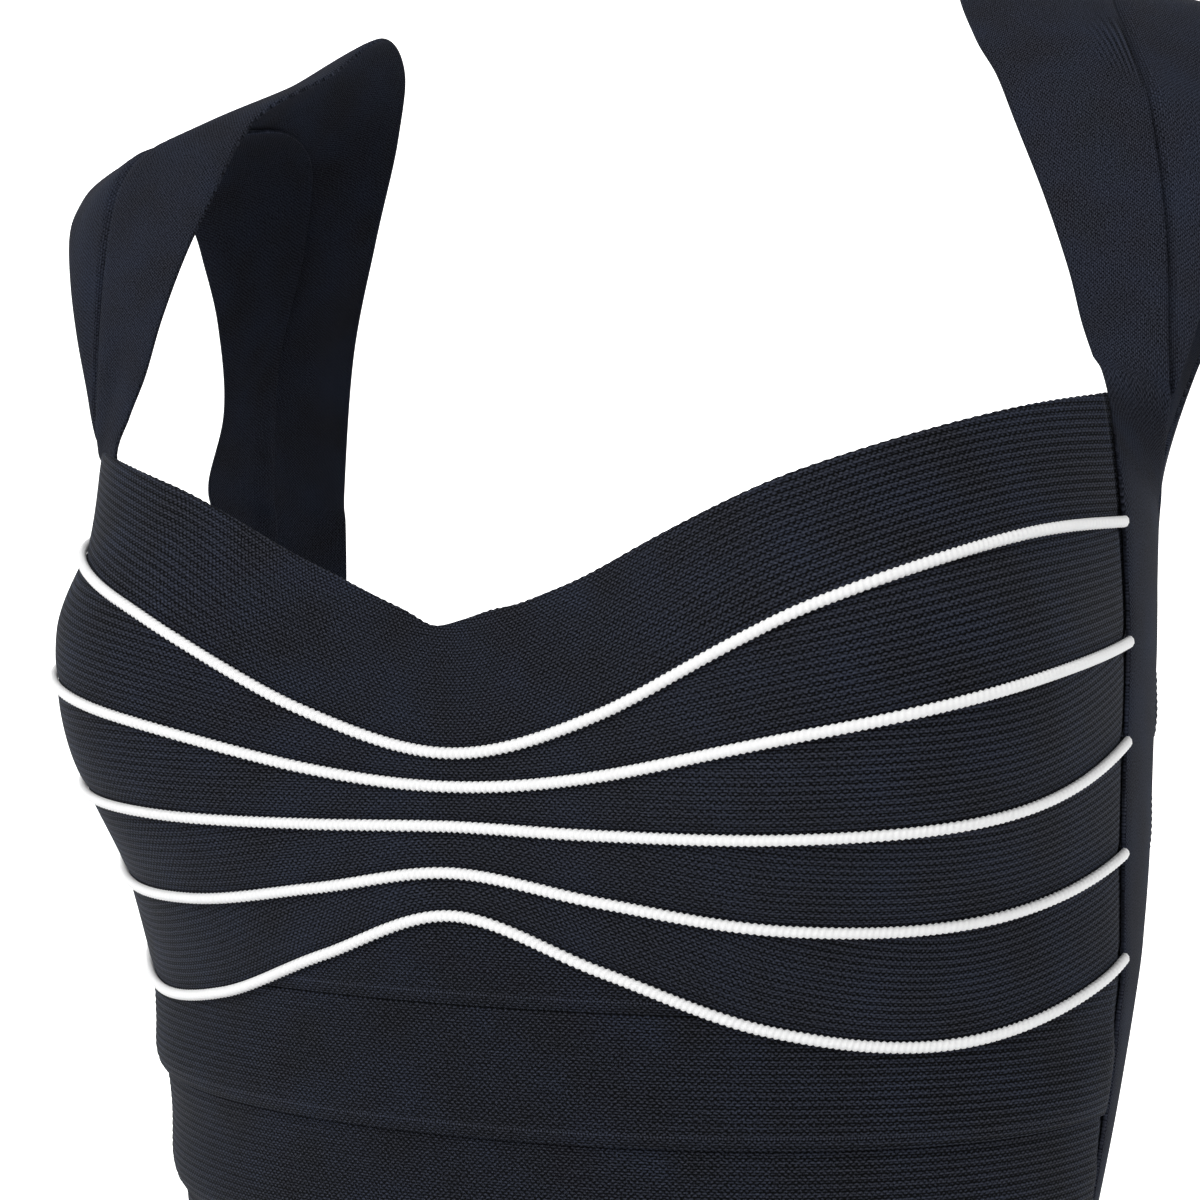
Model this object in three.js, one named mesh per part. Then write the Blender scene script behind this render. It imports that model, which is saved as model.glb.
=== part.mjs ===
// Bodycon dress of knitted bands, in the form it has when worn. Millimetres, +Z up, wearer facing -Y.
// Heights are built from the bust line. The group is then lowered, so that the origin lies midway
// between the shoulders, level with the top of the straps.
import * as THREE from 'three';

// Driving sizes
const BUST_DROP = 172;
const CLOTH = 1.7;
const SEAM_GAP = 0.35;
const FIRST_SEAM = -84.2;
const BAND_PITCH = 29.5;
const LOWER_BANDS = 19;
const UPPER_BACK_BANDS = 3;
const BACK_DIP = 12;
const BACK_DIP_START = 120;
const RAMP = 12;
const LAP = 2;
const LAP_RISE = (CLOTH + SEAM_GAP) * RAMP / (RAMP - LAP);
const STRIP_WIDTH = 38;
const STRIP_RISE = 0.8;
const STRIP_END_GAP = 0.9;
const STRIP_CROWN_RADIUS = 110;
const UNDERARM = 41;
const UNDERARM_SCOOP = 8;
const PIPING_WIDTH = 3.2;
const PIPING_DEPTH = 2.4;

// How finely the pieces are cut into faces
const BUST_SEGMENTS = 24;
const BAND_SEGMENTS = 16;
const CRESCENT_SEGMENTS = 10;
const CRESCENT_SPAN = 0.375;
const PIPING_SIDES = 6;
const STRAP_STEPS = 2;

// Body sections, heights from the bust line: half width to the side, depth to front and back, the
// swell of the bust, and the angle from the centre front where the side strip begins.
const SECTIONS = [
  { height: -650, side: 139, front: 101, back: 102, bust: 0, seam: 90 },
  { height: -520, side: 149, front: 104, back: 111, bust: 0, seam: 90 },
  { height: -400, side: 158, front: 106, back: 123, bust: 0, seam: 90 },
  { height: -300, side: 138, front: 99, back: 108, bust: 0, seam: 90 },
  { height: -240, side: 115, front: 92, back: 92, bust: 0, seam: 90 },
  { height: -200, side: 109, front: 91, back: 89, bust: 0, seam: 90 },
  { height: -150, side: 117, front: 93, back: 93, bust: 0, seam: 89 },
  { height: -115, side: 124, front: 95, back: 97, bust: 0, seam: 87.5 },
  { height: -85, side: 129.5, front: 97, back: 100, bust: 0, seam: 86 },
  { height: -60, side: 132, front: 100, back: 101, bust: 7, seam: 83 },
  { height: -30, side: 133, front: 101, back: 102, bust: 22.5, seam: 80 },
  { height: 0, side: 134, front: 100, back: 102, bust: 26.5, seam: 79 },
  { height: 25, side: 134.5, front: 96, back: 102, bust: 19.5, seam: 79 },
  { height: 55, side: 137.5, front: 94, back: 101, bust: 15.5, seam: 74.5 },
  { height: 90, side: 139, front: 92, back: 100, bust: 15, seam: 72 },
];
const ROUNDNESS = 2.1;
const BUST_ANGLE = THREE.MathUtils.degToRad(48);
const BUST_SPREAD = THREE.MathUtils.degToRad(23.5);

// Curved lines on the front, heights from the bust line at six angles from the centre front
const LINE_ANGLES = { centre: 0, inner: 20, apex: 40, outer: 60, side: 80, end: 90 };
const LINES = {
  neck: { centre: 3, inner: 15.5, apex: 35.6, outer: 49.7, side: 57.4, end: 60 },
  piping1: { centre: -27, inner: -17.6, apex: 5.9, outer: 21.3, side: 26.8, end: 28 },
  piping2: { centre: -34.5, inner: -30.9, apex: -20.1, outer: -8.9, side: -0.8, end: 4 },
  piping3: { centre: -43.4, inner: -43.8, apex: -42.5, outer: -37.2, side: -24, end: -15 },
  piping4: { centre: -53.8, inner: -58.8, apex: -63.5, outer: -62.1, side: -51.7, end: -44.5 },
  piping5: { centre: -63.4, inner: -74.4, apex: -87.1, outer: -90.7, side: -80, end: -71.5 },
};

// The wearer's left shoulder strap from the front of the underarm over the shoulder to the back:
// its neck edge, the seam between its two strips, and its armhole edge.
const STRAP = [
  { neck: [129.8, -34, 64], seam: [146.3, -29.5, 58], arm: [147.6, -28.3, 57] },
  { neck: [127, -32.3, 72], seam: [146.4, -30, 71], arm: [151.3, -28.2, 68] },
  { neck: [123.7, -32.3, 85], seam: [146, -29, 86], arm: [155, -26.5, 81] },
  { neck: [117.5, -30, 103], seam: [144.6, -28.5, 104], arm: [159.5, -23.5, 97] },
  { neck: [110, -26.5, 121], seam: [142, -27, 121], arm: [163.5, -18.5, 111] },
  { neck: [104.5, -23.9, 133], seam: [138, -21, 131.5], arm: [166.5, -11, 119.5] },
  { neck: [98.5, -18.7, 142.2], seam: [133, -12, 136.2], arm: [168.5, -1, 127] },
  { neck: [91, 1, 154.5], seam: [127, 6, 142.5], arm: [167, 12, 129] },
  { neck: [86.5, 24, 169.8], seam: [124, 26, 146.5], arm: [163, 27, 128] },
  { neck: [91, 45, 165], seam: [125, 42, 143], arm: [161, 38, 122] },
  { neck: [101, 58, 148], seam: [130, 53, 133], arm: [159, 42, 110] },
  { neck: [111, 63, 121], seam: [134, 54, 111], arm: [151, 37, 92] },
  { neck: [116, 59, 86], seam: [136, 45, 80], arm: [141, 26, 66] },
];
const STRAP_BACK_NECK = 115.5;
const STRAP_BACK_SEAM = 104;
// Where the strap comes down the back beside the side strip, and how far it stands off it there
const STRAP_BACK_ROWS = [
  { height: 44, apart: 6 },
  { height: 33, apart: 2 },
  { height: 20, apart: 1 },
  { height: 5, apart: 1 },
];

const knit = (name) => new THREE.MeshStandardMaterial({ name, color: 0x14171c, roughness: 0.85, metalness: 0 });
const dress = new THREE.Group();
dress.position.z = -BUST_DROP;

// A table's columns as smooth curves over its first column
function smoothTable(rows, key, columns) {
  const at = new Float64Array(rows.map((row) => row[key]));
  const values = new Float64Array(rows.flatMap((row) => columns.map((column) => row[column])));
  const curve = new THREE.CubicInterpolant(at, values, columns.length);
  return (position) => {
    const found = curve.evaluate(THREE.MathUtils.clamp(position, at[0], at[at.length - 1]));
    return Object.fromEntries(columns.map((column, i) => [column, found[i]]));
  };
}

const sectionAt = smoothTable(SECTIONS, 'height', ['side', 'front', 'back', 'bust', 'seam']);
const seamAngle = (height) => THREE.MathUtils.degToRad(sectionAt(height).seam);
const stripAngle = (height) => STRIP_WIDTH / sectionAt(height).side;

function lineLevel(name) {
  const rows = [];
  for (const [column, angle] of Object.entries(LINE_ANGLES)) {
    rows.push({ angle, level: LINES[name][column] });
    if (angle > 0) {
      rows.unshift({ angle: -angle, level: LINES[name][column] });
    }
  }
  const level = smoothTable(rows, 'angle', ['level']);
  return (angle) => level(THREE.MathUtils.radToDeg(angle)).level;
}

// A point of the worn form: angle from the centre front towards the wearer's left
function bodyPoint(angle, height) {
  const section = sectionAt(height);
  const across = Math.abs(Math.sin(angle));
  const along = Math.cos(angle);
  const depth = along > 0 ? section.front : section.back;
  const oval = ((across / section.side) ** ROUNDNESS + (Math.abs(along) / depth) ** ROUNDNESS)
    ** (-1 / ROUNDNESS);
  const fromApex = (Math.abs(Math.atan2(Math.sin(angle), along)) - BUST_ANGLE) / BUST_SPREAD;
  const radius = oval + section.bust * Math.exp(-(fromApex ** 2));
  return new THREE.Vector3(radius * Math.sin(angle), -radius * Math.cos(angle), height);
}

function bodyNormal(angle, height) {
  const step = 0.01;
  const across = bodyPoint(angle + step, height).sub(bodyPoint(angle - step, height));
  const up = bodyPoint(angle, height + 1).sub(bodyPoint(angle, height - 1));
  return across.cross(up).normalize();
}

const onBody = (angle, height, out) => bodyPoint(angle, height).addScaledVector(bodyNormal(angle, height), out);

// A closed wall between two grids of points, rows running up and columns towards the left of the
// face seen from outside. inner and outer are lists of rows of points.
function wallGeometry(inner, outer) {
  const rows = outer.length;
  const columns = outer[0].length;
  const positions = [...inner, ...outer].flat().flatMap((point) => point.toArray());
  const at = (layer, row, column) => (layer * rows + row) * columns + column;
  const faces = [];
  const quad = (a, b, c, d) => faces.push(a, b, c, a, c, d);
  for (let row = 0; row < rows - 1; row += 1) {
    for (let column = 0; column < columns - 1; column += 1) {
      quad(at(1, row, column), at(1, row, column + 1), at(1, row + 1, column + 1), at(1, row + 1, column));
      quad(at(0, row, column), at(0, row + 1, column), at(0, row + 1, column + 1), at(0, row, column + 1));
    }
    const last = columns - 1;
    quad(at(1, row, 0), at(1, row + 1, 0), at(0, row + 1, 0), at(0, row, 0));
    quad(at(1, row + 1, last), at(1, row, last), at(0, row, last), at(0, row + 1, last));
  }
  for (let column = 0; column < columns - 1; column += 1) {
    const top = rows - 1;
    quad(at(1, 0, column + 1), at(1, 0, column), at(0, 0, column), at(0, 0, column + 1));
    quad(at(1, top, column), at(1, top, column + 1), at(0, top, column + 1), at(0, top, column));
  }
  const geometry = new THREE.BufferGeometry();
  geometry.setAttribute('position', new THREE.Float32BufferAttribute(positions, 3));
  geometry.setIndex(faces);
  geometry.computeVertexNormals();
  return geometry;
}

function addPiece(name, geometry, material) {
  const mesh = new THREE.Mesh(geometry, material);
  mesh.name = name;
  dress.add(mesh);
}

// Where a fraction of the way across the front or back meets a line, -1 and 1 being the side seams
function frontAngle(fraction, height) {
  return fraction * (seamAngle(height) - STRIP_END_GAP / sectionAt(height).side);
}

function backAngle(fraction, height) {
  const edge = seamAngle(height) + stripAngle(height) + STRIP_END_GAP / sectionAt(height).side;
  return Math.PI + fraction * (Math.PI - edge);
}

function meetLine(fraction, angleAt, levelAt) {
  let height = 0;
  for (let pass = 0; pass < 4; pass += 1) {
    height = levelAt(angleAt(fraction, height));
  }
  return { angle: angleAt(fraction, height), height };
}

// A band from rows of { level, rise }, bottom row first: level gives the height at an angle, and
// rise is how far its inner face stands off the body there.
function band(name, angleAt, rows, segments, span) {
  const grid = (thickness) => rows.map(({ level, rise }) => {
    const row = [];
    for (let i = 0; i <= segments; i += 1) {
      const { angle, height } = meetLine(span * (2 * i / segments - 1), angleAt, level);
      row.push(onBody(angle, height, rise + thickness));
    }
    return row;
  });
  addPiece(name, wallGeometry(grid(0), grid(CLOTH)), knit(name));
}

const flat = (height) => () => height;
const shifted = (level, amount) => (angle) => level(angle) + amount;
const between = (low, high, share) => (angle) => low(angle) + (high(angle) - low(angle)) * share;

// The front above the first seam: curved bands that meet edge to edge under the pipings
function curvedBand(name, top, bottom, steps, segments, span) {
  const low = shifted(bottom, SEAM_GAP / 2);
  const high = shifted(top, -SEAM_GAP / 2);
  const rows = [];
  for (let step = 0; step <= steps; step += 1) {
    rows.push({ level: between(low, high, step / steps), rise: 0 });
  }
  band(name, frontAngle, rows, segments, span);
}

const neck = lineLevel('neck');
const pipingLines = [1, 2, 3, 4, 5].map((number) => lineLevel(`piping${number}`));
curvedBand('front_neck_band', neck, pipingLines[0], 3, BUST_SEGMENTS, 1);
for (let i = 0; i < pipingLines.length - 1; i += 1) {
  curvedBand(`front_bust_band_${i + 1}`, pipingLines[i], pipingLines[i + 1], 2, BUST_SEGMENTS, 1);
}
curvedBand('front_underbust_crescent', pipingLines[4], flat(FIRST_SEAM), 1, CRESCENT_SEGMENTS, CRESCENT_SPAN);

// The level bands: each one's lower edge stands out over the top of the next one
function lappedBand(name, angleAt, top, bottom) {
  const rows = [
    { level: flat(bottom), rise: LAP_RISE },
    { level: flat(bottom + RAMP), rise: 0 },
    { level: top, rise: 0 },
  ];
  band(name, angleAt, rows, BAND_SEGMENTS, 1);
}

const twoDigits = (number) => String(number).padStart(2, '0');
const seamLevel = (number) => FIRST_SEAM - (number - 1) * BAND_PITCH;
function underPiping(angle) {
  const line = pipingLines[4](angle) - SEAM_GAP;
  return (Math.abs(angle) > BUST_ANGLE ? line : Math.min(FIRST_SEAM, line)) - SEAM_GAP / 2;
}

for (let number = 1; number <= LOWER_BANDS; number += 1) {
  const top = number === 1 ? underPiping : flat(seamLevel(number) + LAP);
  lappedBand(`front_band_${twoDigits(number)}`, frontAngle, top, seamLevel(number + 1));
}

const BACK_TOP = FIRST_SEAM + UPPER_BACK_BANDS * BAND_PITCH;
function backTop(angle) {
  const turned = THREE.MathUtils.radToDeg(Math.PI - Math.abs(Math.PI - angle));
  const share = THREE.MathUtils.smoothstep(turned, BACK_DIP_START, 180);
  return BACK_TOP - BACK_DIP * share;
}

for (let number = 1; number <= UPPER_BACK_BANDS + LOWER_BANDS; number += 1) {
  const seam = seamLevel(number - UPPER_BACK_BANDS);
  const top = number === 1 ? backTop : flat(seam + LAP);
  lappedBand(`back_band_${twoDigits(number)}`, backAngle, top, seam - BAND_PITCH);
}

// A piping: a flattened tube laid along the seam of two bust bands
function piping(name, level) {
  const centre = CLOTH + SEAM_GAP + PIPING_DEPTH / 2;
  const positions = [];
  const faces = [];
  for (let i = 0; i <= BUST_SEGMENTS; i += 1) {
    const { angle, height } = meetLine(2 * i / BUST_SEGMENTS - 1, frontAngle, level);
    const step = 0.01;
    const ahead = bodyPoint(angle + step, level(angle + step));
    const forward = ahead.sub(bodyPoint(angle - step, level(angle - step))).normalize();
    const outward = bodyNormal(angle, height);
    const upward = new THREE.Vector3().crossVectors(outward, forward).normalize();
    const middle = onBody(angle, height, centre);
    for (let side = 0; side < PIPING_SIDES; side += 1) {
      const turn = (side + 0.5) / PIPING_SIDES * 2 * Math.PI;
      const flatShare = Math.cos(Math.PI / PIPING_SIDES);
      const point = middle.clone();
      point.addScaledVector(outward, Math.sin(turn) * PIPING_DEPTH / 2);
      point.addScaledVector(upward, Math.cos(turn) * PIPING_WIDTH / 2 / flatShare);
      positions.push(...point.toArray());
    }
  }
  const at = (i, side) => i * PIPING_SIDES + (side % PIPING_SIDES);
  for (let i = 0; i < BUST_SEGMENTS; i += 1) {
    for (let side = 0; side < PIPING_SIDES; side += 1) {
      faces.push(at(i, side), at(i, side + 1), at(i + 1, side + 1));
      faces.push(at(i, side), at(i + 1, side + 1), at(i + 1, side));
    }
  }
  for (let side = 1; side < PIPING_SIDES - 1; side += 1) {
    faces.push(at(0, 0), at(0, side + 1), at(0, side));
    faces.push(at(BUST_SEGMENTS, 0), at(BUST_SEGMENTS, side), at(BUST_SEGMENTS, side + 1));
  }
  const geometry = new THREE.BufferGeometry();
  geometry.setAttribute('position', new THREE.Float32BufferAttribute(positions, 3));
  geometry.setIndex(faces);
  geometry.computeVertexNormals();
  const white = new THREE.MeshStandardMaterial({ name, color: 0xe9e9ea, roughness: 0.7, metalness: 0 });
  addPiece(name, geometry, white);
}

pipingLines.forEach((level, i) => piping(`piping_${i + 1}`, level));

// Stations of the wearer's left strips, hem first: side strip, strap, and the strap's back end
const STATION_COLUMNS = ['neckX', 'neckY', 'neckZ', 'seamX', 'seamY', 'seamZ', 'armX', 'armY', 'armZ'];

function station(neckEdge, seamEdge, armEdge) {
  const values = [...neckEdge, ...seamEdge, ...armEdge];
  return Object.fromEntries(STATION_COLUMNS.map((column, i) => [column, values[i]]));
}

function sideStation(height) {
  const front = bodyPoint(seamAngle(height), height).toArray();
  const backHeight = height === UNDERARM ? UNDERARM - UNDERARM_SCOOP : height;
  const back = bodyPoint(seamAngle(height) + stripAngle(height), backHeight).toArray();
  return station(front, back, back);
}

function backStation({ height, apart }) {
  const armAngle = seamAngle(height) + stripAngle(height) + apart / sectionAt(height).side;
  const neckPoint = bodyPoint(THREE.MathUtils.degToRad(STRAP_BACK_NECK), height).toArray();
  const seamPoint = bodyPoint(THREE.MathUtils.degToRad(STRAP_BACK_SEAM), height).toArray();
  return station(neckPoint, seamPoint, bodyPoint(armAngle, height).toArray());
}

const sideHeights = [];
for (let number = LOWER_BANDS + 1; number >= 1; number -= 1) {
  sideHeights.push(seamLevel(number));
}
const BUST_SIDE_ROWS = 9;
for (let row = 1; row <= BUST_SIDE_ROWS; row += 1) {
  sideHeights.push(FIRST_SEAM + (UNDERARM - FIRST_SEAM) * row / BUST_SIDE_ROWS);
}
const CORNER_HEIGHT = 57;
const CORNER_SEAM_EDGE = [144.5, -23, 50];
const CORNER_EASE = 1.2;
const cornerAngle = seamAngle(CORNER_HEIGHT) + CORNER_EASE / sectionAt(CORNER_HEIGHT).side;
const cornerPoint = bodyPoint(cornerAngle, CORNER_HEIGHT).toArray();

const stations = [
  ...sideHeights.map(sideStation),
  station(cornerPoint, CORNER_SEAM_EDGE, CORNER_SEAM_EDGE),
  ...STRAP.map((row) => station(row.neck, row.seam, row.arm)),
  ...STRAP_BACK_ROWS.map(backStation),
].map((row, index) => ({ ...row, index }));
const stationAt = smoothTable(stations, 'index', STATION_COLUMNS);
const edgeAt = (index, edge) => {
  const row = stationAt(index);
  return new THREE.Vector3(row[`${edge}X`], row[`${edge}Y`], row[`${edge}Z`]);
};

const firstStrapStation = sideHeights.length + 1;
const lastStation = stations.length - 1;

function stationIndices(from, to) {
  const indices = [];
  for (let index = from; index < to; index += 1) {
    const steps = index >= firstStrapStation ? STRAP_STEPS : 1;
    for (let step = 0; step < steps; step += 1) {
      indices.push(index + step / steps);
    }
  }
  indices.push(to);
  return indices;
}

// One strip between two edges of the stations, a little crowned across its width
function strip(name, firstEdge, secondEdge, trim, from, to, segments, mirror) {
  const rowAt = (index, out) => {
    const first = edgeAt(index, firstEdge);
    const second = edgeAt(index, secondEdge);
    const across = second.clone().sub(first);
    const width = across.length();
    const middleAt = (i) => edgeAt(i, firstEdge).add(edgeAt(i, secondEdge)).multiplyScalar(0.5);
    const step = 0.05;
    const along = middleAt(Math.min(index + step, lastStation)).sub(middleAt(Math.max(index - step, 0)));
    const outward = new THREE.Vector3().crossVectors(across, along).normalize();
    const crown = width ** 2 / (8 * STRIP_CROWN_RADIUS);
    const row = [];
    for (let i = 0; i <= segments; i += 1) {
      const share = trim[0] / width + (1 - (trim[0] + trim[1]) / width) * i / segments;
      const point = first.clone().addScaledVector(across, share);
      point.addScaledVector(outward, STRIP_RISE + out + crown * 4 * share * (1 - share));
      if (mirror) {
        point.x *= -1;
      }
      row.push(point);
    }
    return mirror ? row.reverse() : row;
  };
  const indices = stationIndices(from, to);
  const inner = indices.map((index) => rowAt(index, 0));
  const outer = indices.map((index) => rowAt(index, CLOTH));
  addPiece(name, wallGeometry(inner, outer), knit(name));
}

for (const [side, mirror] of [['left', false], ['right', true]]) {
  strip(`side_strap_strip_${side}`, 'neck', 'seam', [0, SEAM_GAP / 2], 0, lastStation, 3, mirror);
  strip(`armhole_strip_${side}`, 'seam', 'arm', [SEAM_GAP, 0], firstStrapStation, lastStation, 2, mirror);
}

export default dress;
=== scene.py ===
"""Looks of a bodycon dress of knitted bands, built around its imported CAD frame.

Blender units are metres. Sizes in the tables and functions are millimetres, with heights from the
bust line, as in the CAD source. The wearer faces -Y, and angles turn from the centre front (0) to
the wearer's left (90 degrees) and on to the centre back (180 degrees).
"""

import math

import bpy
import numpy as np
from mathutils import Matrix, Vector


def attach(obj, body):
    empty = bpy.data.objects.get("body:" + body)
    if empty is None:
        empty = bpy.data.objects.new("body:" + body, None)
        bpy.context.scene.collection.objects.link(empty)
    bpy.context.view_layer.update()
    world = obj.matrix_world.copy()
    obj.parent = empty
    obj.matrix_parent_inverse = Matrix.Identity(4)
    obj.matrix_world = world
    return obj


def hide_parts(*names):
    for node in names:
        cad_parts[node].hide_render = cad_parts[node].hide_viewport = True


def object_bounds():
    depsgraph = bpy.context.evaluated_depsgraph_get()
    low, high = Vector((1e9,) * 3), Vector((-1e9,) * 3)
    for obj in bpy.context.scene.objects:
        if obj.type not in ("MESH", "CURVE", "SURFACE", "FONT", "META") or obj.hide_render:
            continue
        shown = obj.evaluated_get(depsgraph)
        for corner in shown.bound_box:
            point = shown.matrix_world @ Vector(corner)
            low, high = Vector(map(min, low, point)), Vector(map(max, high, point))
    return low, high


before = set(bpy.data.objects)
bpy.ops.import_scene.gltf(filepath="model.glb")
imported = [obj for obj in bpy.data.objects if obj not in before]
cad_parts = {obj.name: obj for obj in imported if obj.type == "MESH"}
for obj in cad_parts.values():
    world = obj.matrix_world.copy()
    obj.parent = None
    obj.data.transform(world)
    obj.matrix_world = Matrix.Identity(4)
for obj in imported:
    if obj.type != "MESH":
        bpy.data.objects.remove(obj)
cad_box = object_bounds()

MM = 0.001

# Sizes shared with the CAD source
BUST_DROP = 172
CLOTH = 1.7
FIRST_SEAM = -84.2
BAND_PITCH = 29.5
LOWER_BANDS = 19
UPPER_BACK_BANDS = 3
BACK_TOP = FIRST_SEAM + UPPER_BACK_BANDS * BAND_PITCH
BACK_DIP = 12
LAP = 2
STRIP_WIDTH = 38
STRIP_RISE = 0.8
STRIP_CROWN_RADIUS = 110
UNDERARM = 41
UNDERARM_SCOOP = 8
CRESCENT_SPAN = 0.375
ROUNDNESS = 2.1
BUST_ANGLE = math.radians(48)
BUST_SPREAD = math.radians(23.5)

# height, half width, depth to front and back, bust swell, angle where the side strip begins
SECTIONS = [
    (-650, 139, 101, 102, 0, 90),
    (-520, 149, 104, 111, 0, 90),
    (-400, 158, 106, 123, 0, 90),
    (-300, 138, 99, 108, 0, 90),
    (-240, 115, 92, 92, 0, 90),
    (-200, 109, 91, 89, 0, 90),
    (-150, 117, 93, 93, 0, 89),
    (-115, 124, 95, 97, 0, 87.5),
    (-85, 129.5, 97, 100, 0, 86),
    (-60, 132, 100, 101, 7, 83),
    (-30, 133, 101, 102, 22.5, 80),
    (0, 134, 100, 102, 26.5, 79),
    (25, 134.5, 96, 102, 19.5, 79),
    (55, 137.5, 94, 101, 15.5, 74.5),
    (90, 139, 92, 100, 15, 72),
]

# Heights of the curved lines on the front at LINE_ANGLES from the centre
LINE_ANGLES = (0, 20, 40, 60, 80, 90)
NECK_LINE = (3, 15.5, 35.6, 49.7, 57.4, 60)
PIPING_LINES = [
    (-27, -17.6, 5.9, 21.3, 26.8, 28),
    (-34.5, -30.9, -20.1, -8.9, -0.8, 4),
    (-43.4, -43.8, -42.5, -37.2, -24, -15),
    (-53.8, -58.8, -63.5, -62.1, -51.7, -44.5),
    (-63.4, -74.4, -87.1, -90.7, -80, -71.5),
]

# Left shoulder strap, front of the underarm to the back: neck edge, seam and armhole edge
STRAP = [
    (129.8, -34, 64, 146.3, -29.5, 58, 147.6, -28.3, 57),
    (127, -32.3, 72, 146.4, -30, 71, 151.3, -28.2, 68),
    (123.7, -32.3, 85, 146, -29, 86, 155, -26.5, 81),
    (117.5, -30, 103, 144.6, -28.5, 104, 159.5, -23.5, 97),
    (110, -26.5, 121, 142, -27, 121, 163.5, -18.5, 111),
    (104.5, -23.9, 133, 138, -21, 131.5, 166.5, -11, 119.5),
    (98.5, -18.7, 142.2, 133, -12, 136.2, 168.5, -1, 127),
    (91, 1, 154.5, 127, 6, 142.5, 167, 12, 129),
    (86.5, 24, 169.8, 124, 26, 146.5, 163, 27, 128),
    (91, 45, 165, 125, 42, 143, 161, 38, 122),
    (101, 58, 148, 130, 53, 133, 159, 42, 110),
    (111, 63, 121, 134, 54, 111, 151, 37, 92),
    (116, 59, 86, 136, 45, 80, 141, 26, 66),
]
STRAP_BACK_NECK = 115.5
STRAP_BACK_SEAM = 104
STRAP_BACK_ROWS = [(44, 6), (33, 2), (20, 1), (5, 1)]
CORNER_HEIGHT = 57
CORNER_SEAM_EDGE = (144.5, -23, 50)
CORNER_EASE = 1.2
BUST_SIDE_ROWS = 9

# The cloth as it is seen
THICKNESS = 1.25
EDGE_RADIUS = 0.5
SEAM_CLEARANCE = 0.08
UNDER_STRIP = 3.2
SEAM_TUCK = 2.2
BAND_SINK = 1.15
SINK_RAMP = 3.5
INNER_ROWS = 9
END_CROWDING = math.radians(81)
RIDGE_PITCH = 1.77
RIDGES_PER_BAND = 17
ROWS_PER_RIDGE = 4
STRETCH = 1.08

# The wearer's right end of the neckline and the foot of that strap sit a little lower as worn
NECK_LINE_RIGHT = (3, 15.5, 35.6, 46, 42.5, 39)
CORNER_RIGHT = (135.2, -36.5, 47)
CORNER_SEAM_EDGE_RIGHT = (144.5, -23, 44.5)
UNDERARM_DROP_RIGHT = 3
STRAP_FOOT_RIGHT = [
    (131.2, -36.6, 57.5, 145.2, -30.5, 52, 146.2, -29.3, 51),
    (128.1, -33.7, 69, 146, -30, 68, 150, -28.2, 65),
]

# The angle where the back's top edge begins to dip as worn; 120 degrees in the CAD source
BACK_DIP_START = 100

# Where the worn neckline leaves its even curve: angle, half width, height
NECK_LINE_EASE = [(-3.2, 2.9, -1.7), (5, 3.2, 1.0), (17.5, 5, -1.0)]
PICOT_PITCH = 2.4
PICOT = 0.13

# The wearer's left shoulder lifts the top of its strap, from this row of STRAP on
LIFTED_ROW = 6
STRAP_TOP_LEFT = [
    (98, -18.7, 143, 133, -12, 142, 168.5, -1, 136.5),
    (88.5, 0, 161, 126, 6, 155.5, 167, 12, 143.5),
    (85, 23, 179, 124, 26, 162, 163, 27, 143.5),
    (90.5, 45, 173.5, 125, 42, 156, 161, 38, 134),
    (101, 58, 152, 130, 53, 139, 159, 42, 116),
]

# Distance above a level band's lower edge, and how far the band swells out there
SWELL = [
    (-1, 0.7),
    (0, 1.0),
    (1.5, 1.75),
    (3.5, 2.25),
    (6, 2.4),
    (9, 2.1),
    (13, 1.35),
    (18, 0.55),
    (24, 0.08),
    (40, 0),
]

# Soft creases: angle, height, half length along, half width, slope (height per mm along), depth.
# A negative depth is a ridge.
CREASES = [
    (62, -178, 34, 5.5, 0.10, 0.9),
    (-58, -196, 40, 6, -0.12, 0.8),
    (50, -214, 36, 6, 0.05, 0.7),
    (-68, -166, 28, 5, 0.08, 0.75),
    (112, -186, 34, 6, -0.08, 1.0),
    (-118, -172, 38, 6, 0.10, 0.9),
    (140, -206, 44, 7, 0.06, 0.95),
    (-146, -214, 40, 7, -0.05, 0.9),
    (176, -182, 48, 7, 0.03, 0.8),
    (76, -96, 24, 5, 0.22, 0.5),
    (-76, -100, 26, 5, -0.20, 0.5),
    (35, -440, 60, 12, -0.04, 0.8),
    (-40, -470, 66, 12, 0.05, 0.8),
    (150, -452, 60, 12, 0.06, 0.9),
    (-140, -430, 60, 12, -0.05, 0.9),
    (10, -255, 46, 8, 0.04, -0.5),
    (-170, -262, 52, 9, -0.04, -0.6),
    (98, -150, 60, 62, 0, -2.0),
]


def smooth_table(rows):
    """A table's columns as smooth curves over its first column, as the CAD source draws them."""
    table = np.array(rows, float)
    at, values = table[:, 0], table[:, 1:]
    last = len(at) - 1

    def curve(position):
        t = np.clip(np.asarray(position, float), at[0], at[-1])
        right = np.clip(np.searchsorted(at, t, side="right"), 1, last)
        left = right - 1
        before = np.where(left == 0, right, left - 1)
        after = np.where(right == last, left, np.minimum(right + 1, last))
        half = (at[right] - at[left]) / 2
        pull_before = half / (at[left] - at[before])
        pull_after = half / (at[after] - at[right])
        p = (t - at[left]) / (at[right] - at[left])
        p2, p3 = p**2, p**3
        weights = (
            (before, pull_before * (2 * p2 - p3 - p)),
            (left, (1 + pull_before) * p3 - (1.5 + 2 * pull_before) * p2 + (pull_before - 0.5) * p + 1),
            (right, (1.5 + pull_after) * p2 - (1 + pull_after) * p3 + 0.5 * p),
            (after, pull_after * (p3 - p2)),
        )
        return sum(weight[..., None] * values[i] for i, weight in weights)

    return curve


section_at = smooth_table(SECTIONS)
swell_at = smooth_table(SWELL)


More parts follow.
